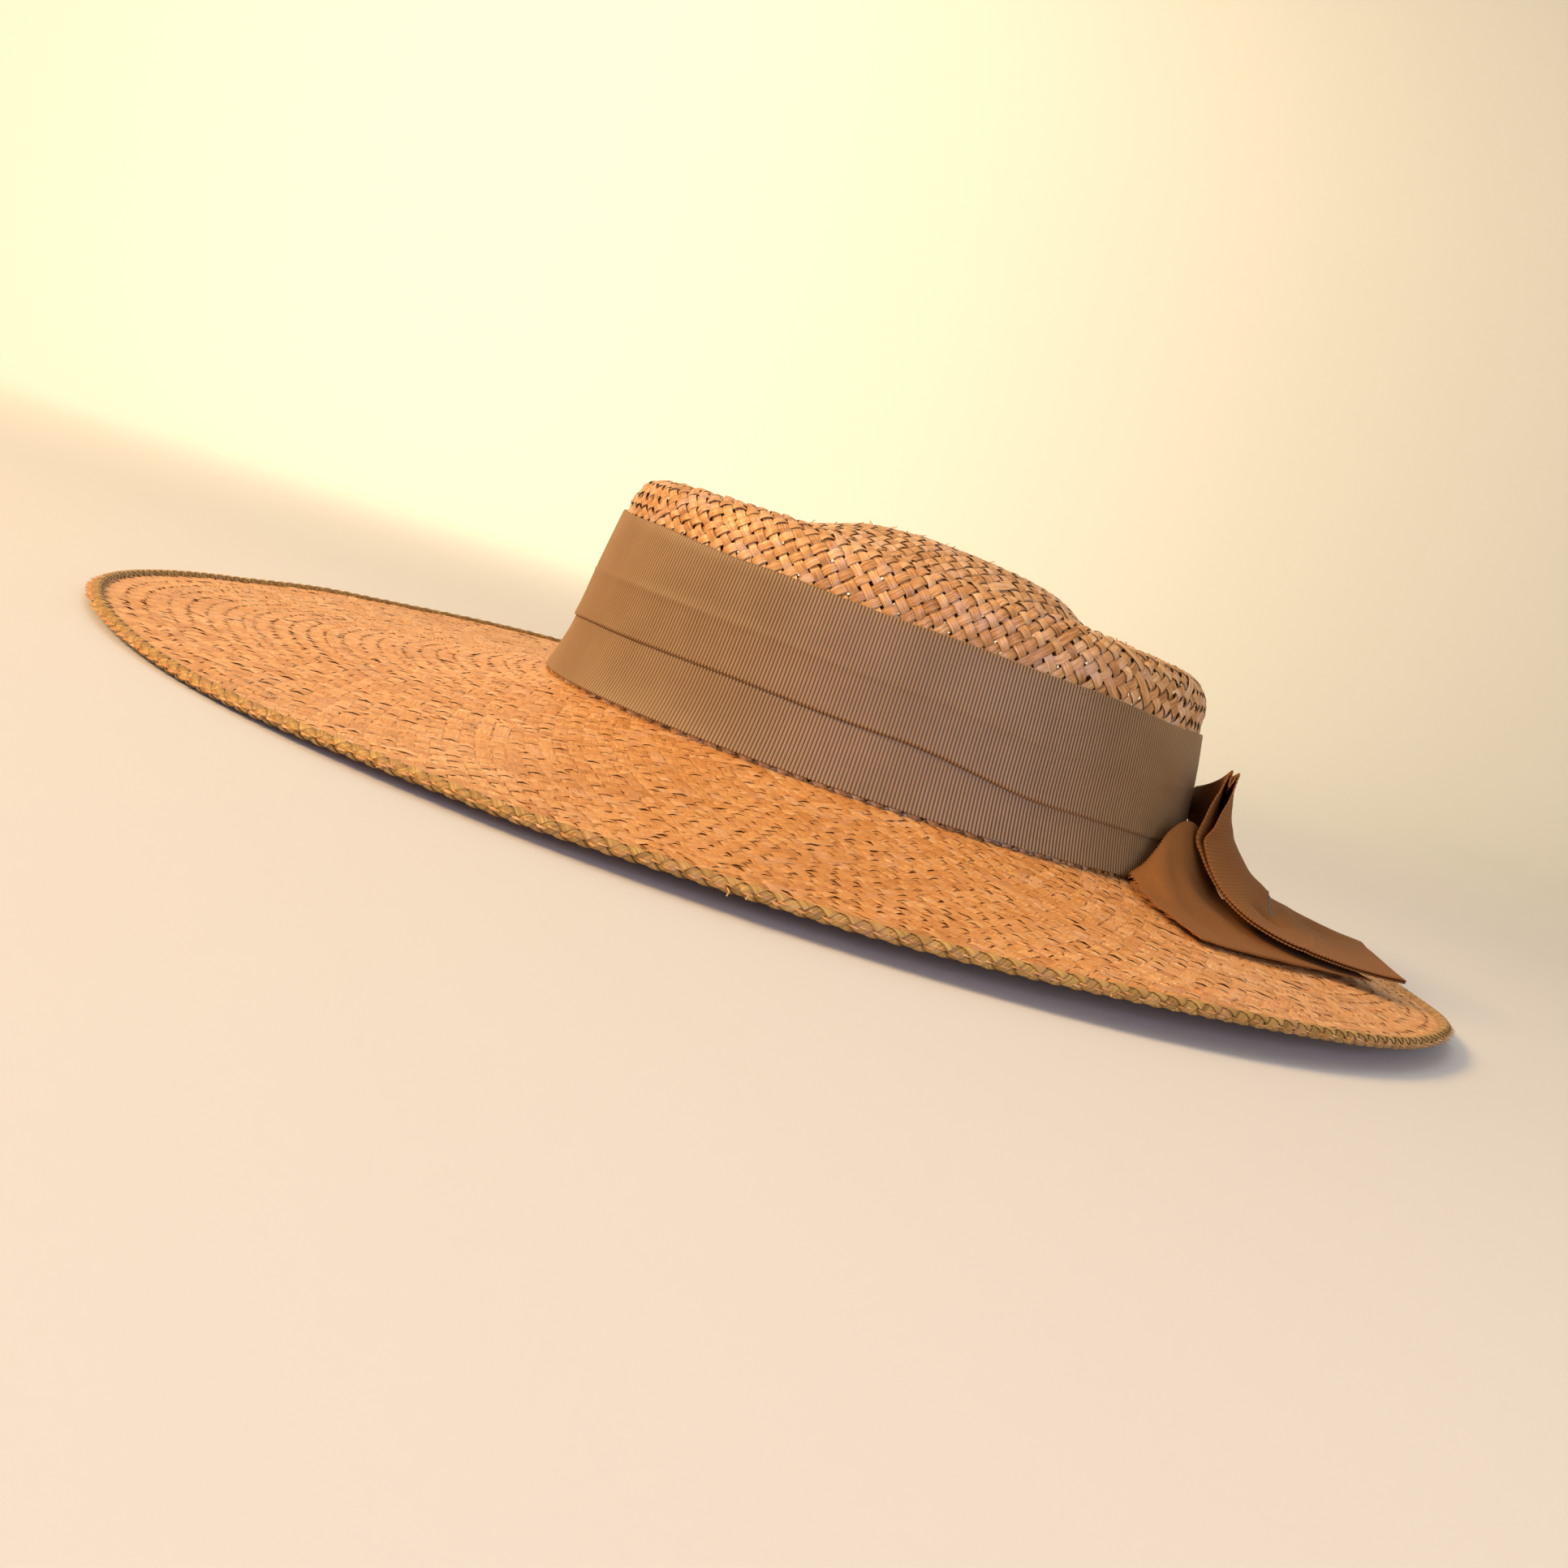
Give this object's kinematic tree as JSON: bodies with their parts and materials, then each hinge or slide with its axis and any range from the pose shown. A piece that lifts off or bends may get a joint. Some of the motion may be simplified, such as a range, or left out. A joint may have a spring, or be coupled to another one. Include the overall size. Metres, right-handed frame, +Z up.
{
  "type": "wide-brim straw hat",
  "caption": "Wide-brim woven straw hat with a shallow dented crown, a doubled grosgrain ribbon band and a flat ribbon bow at the back left.",
  "frame": {"origin": "middle of the brim's outline, on the surface that the hat rests on", "axes": "+Z up, -Y towards the front of the hat, +X towards the wearer's left"},
  "size_m": [0.406, 0.42, 0.0891],
  "materials": {
    "straw": "woven flat straw, satin",
    "edge_straw": "plaited straw, satin",
    "grosgrain": "ribbed ribbon, satin",
    "bow_grosgrain": "ribbed ribbon, matt"
  },
  "bodies": {
    "root": {"crown": "straw", "brim": "straw", "brim_edge": "edge_straw", "band_upper": "grosgrain", "band_lower": "grosgrain", "bow_loop": "bow_grosgrain", "bow_tail": "bow_grosgrain"}
  },
  "joints": []
}
